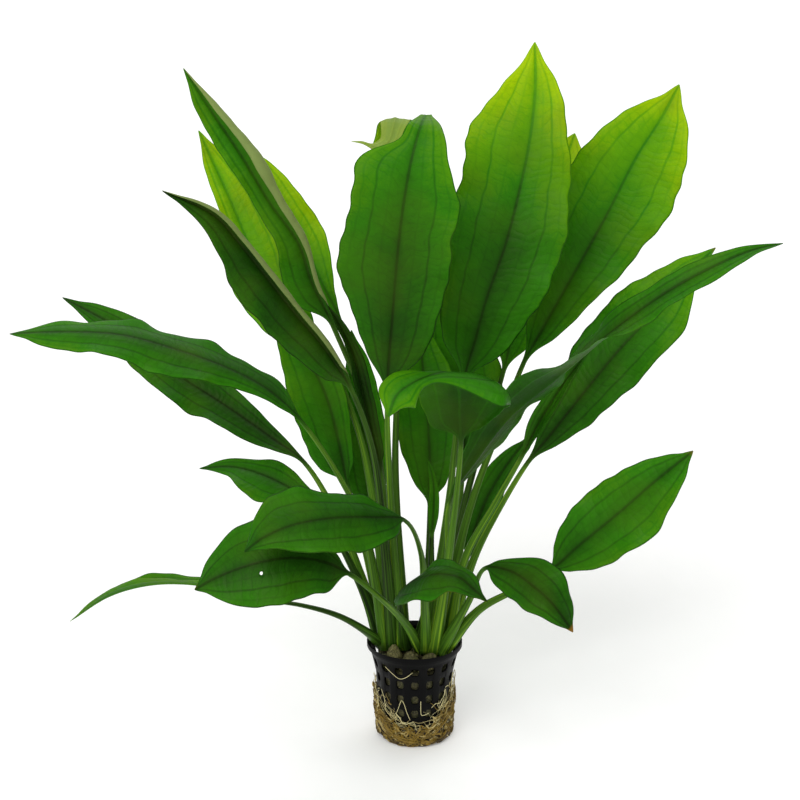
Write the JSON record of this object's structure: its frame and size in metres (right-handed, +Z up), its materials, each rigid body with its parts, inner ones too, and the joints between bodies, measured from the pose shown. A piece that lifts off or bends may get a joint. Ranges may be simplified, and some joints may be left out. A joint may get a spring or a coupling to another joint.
{
  "type": "potted amazon sword plant",
  "caption": "Rosette of long lance-shaped leaves on slender stalks, rising from two crowns in a small black net pot with roots matted round its foot.",
  "frame": {"origin": "centre of the root mat's flat underside, on the plane the pot rests on", "axes": "+Z up along the pot's axis, +X to the right seen from the plant's front, which faces -Y; X is the plant's widest way"},
  "size_m": [0.4012, 0.2179, 0.3912],
  "materials": {
    "leaf": "satin",
    "crown": "matte",
    "pot": "satin",
    "roots": "matte",
    "rock_wool": "matte"
  },
  "bodies": {
    "root": {"crown_left": "crown", "crown_right": "crown", "leaf_centre_back": "leaf", "leaf_centre_back_left": "leaf", "leaf_centre_back_right": "leaf", "leaf_centre_young": "leaf", "leaf_far_left_back": "leaf", "leaf_far_left_front": "leaf", "leaf_far_right": "leaf", "leaf_front_low": "leaf", "leaf_hooded": "leaf", "leaf_left_dark_young": "leaf", "leaf_left_drooping": "leaf", "leaf_left_folded": "leaf", "leaf_left_high_back": "leaf", "leaf_left_high_front": "leaf", "leaf_left_high_middle": "leaf", "leaf_left_low_back": "leaf", "leaf_left_low_front": "leaf", "leaf_left_low_holed": "leaf", "leaf_left_middle": "leaf", "leaf_middle_front": "leaf", "leaf_middle_hooked": "leaf", "leaf_right_drooping": "leaf", "leaf_right_low": "leaf", "leaf_right_middle": "leaf", "leaf_right_narrow": "leaf", "leaf_right_small": "leaf", "leaf_top_middle": "leaf", "leaf_top_right": "leaf", "leaf_top_right_back": "leaf", "lump_back": "rock_wool", "lump_front": "rock_wool", "lump_front_left": "rock_wool", "lump_front_right": "rock_wool", "net_pot": "pot", "rock_wool_plug": "rock_wool", "root_mat": "roots"}
  },
  "joints": []
}
